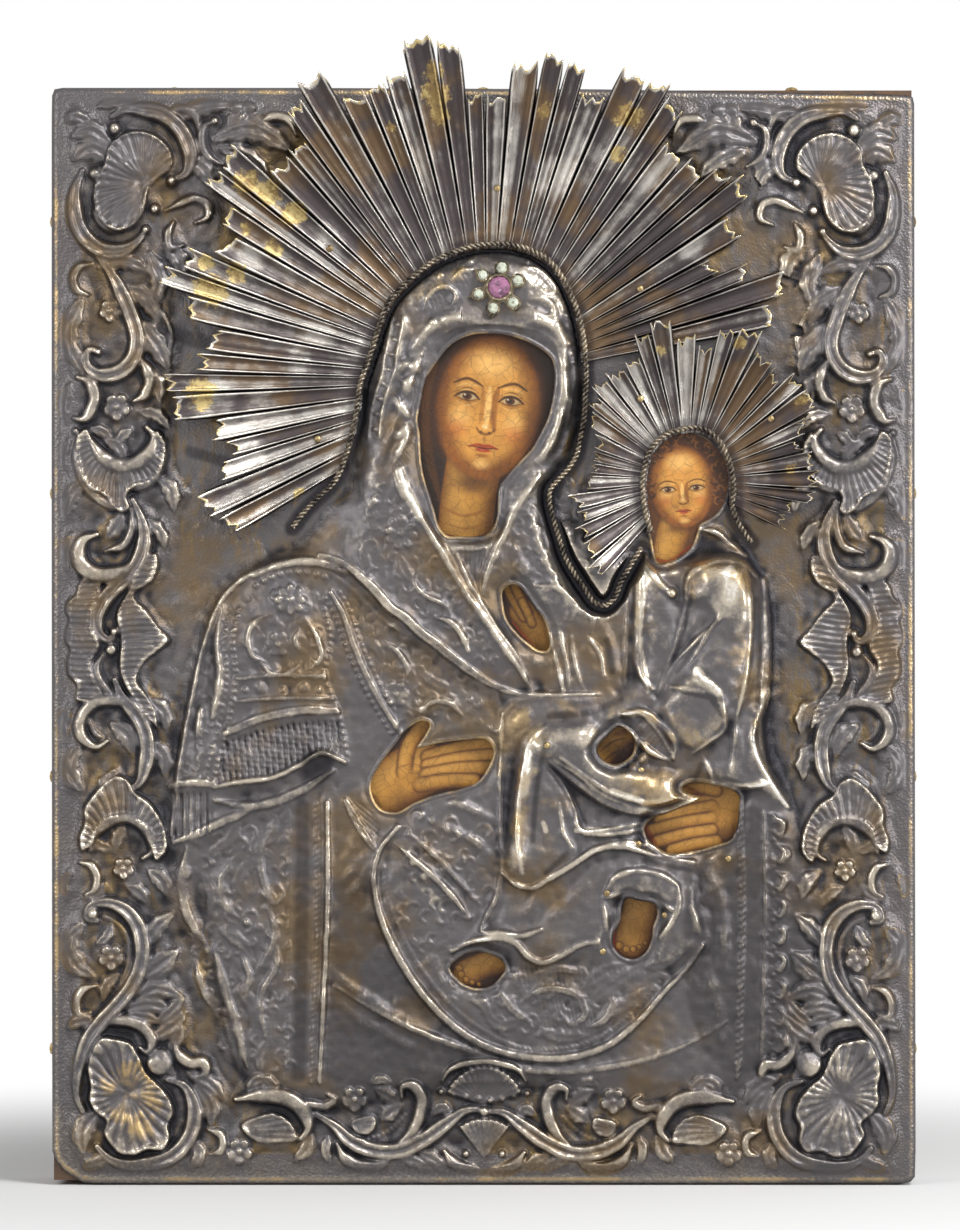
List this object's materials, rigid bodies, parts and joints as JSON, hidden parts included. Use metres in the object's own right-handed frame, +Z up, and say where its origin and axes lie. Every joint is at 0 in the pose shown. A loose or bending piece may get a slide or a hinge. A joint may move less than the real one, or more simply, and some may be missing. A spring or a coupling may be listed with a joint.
{
  "type": "religious icon",
  "caption": "Upright devotional icon: painted wooden panel under a chased metal cover with openings over faces, hands and feet, rayed nimbi and a hanging ring.",
  "frame": {"origin": "middle of the flat bottom face of the cover, which rests on a shelf, at the middle of the board's thickness", "axes": "+Z up, -Y out of the front of the icon, +X to the right as seen from the front"},
  "size_m": [0.2528, 0.0455, 0.3314],
  "materials": {
    "silver_sheet": "tarnished silver, worn bright on the ridges",
    "nimbus_plate": "silver with remains of gilding",
    "twisted_wire": "tarnished silver wire",
    "iron": "forged iron, lightly rusted",
    "brass": "dull brass",
    "board_wood": "old bare pine",
    "batten_wood": "old bare oak",
    "canvas": "glue-sized linen",
    "gesso": "chalk ground",
    "paint": "tempera under aged oil varnish, crackled",
    "rose_stone": "cut rose-violet stone",
    "paste_stone": "cut pale paste"
  },
  "bodies": {
    "icon": {"board_left": "board_wood", "board_right": "board_wood", "batten_upper": "batten_wood", "batten_lower": "batten_wood", "canvas_layer": "canvas", "gesso_ground": "gesso", "painted_panel": "paint", "repousse_cover": "silver_sheet", "mother_nimbus": "nimbus_plate", "child_nimbus": "nimbus_plate", "mother_nimbus_rim": "twisted_wire", "child_nimbus_rim": "twisted_wire", "jewel_mount": "brass", "jewel_center_stone": "rose_stone", "jewel_stone_1": "paste_stone", "jewel_stone_2": "paste_stone", "jewel_stone_3": "paste_stone", "jewel_stone_4": "paste_stone", "jewel_stone_5": "paste_stone", "jewel_stone_6": "paste_stone", "cover_pin_1": "brass", "cover_pin_2": "brass", "cover_pin_3": "brass", "cover_pin_4": "brass", "cover_pin_5": "brass", "cover_pin_6": "brass", "cover_pin_7": "brass", "mother_nimbus_pin_1": "brass", "mother_nimbus_pin_2": "brass", "mother_nimbus_pin_3": "brass", "mother_nimbus_pin_4": "brass", "child_nimbus_pin_1": "brass", "child_nimbus_pin_2": "brass", "tack_left_1": "iron", "tack_left_2": "iron", "tack_left_3": "iron", "tack_left_4": "iron", "tack_right_1": "iron", "tack_right_2": "iron", "tack_right_3": "iron", "tack_right_4": "iron", "tack_top_1": "iron", "tack_top_2": "iron", "tack_top_3": "iron", "tack_foot_1": "iron", "tack_foot_2": "iron", "tack_foot_3": "iron", "ring_staple": "iron"},
    "hang_ring": {"hang_ring": "iron"}
  },
  "joints": [
    {"name": "hang_ring_swing", "type": "hinge", "parent": "icon", "child": "hang_ring", "pos_m": [0, 0.0141, 0.29], "axis": [1, 0, 0], "range_deg": [0, 175]}
  ]
}
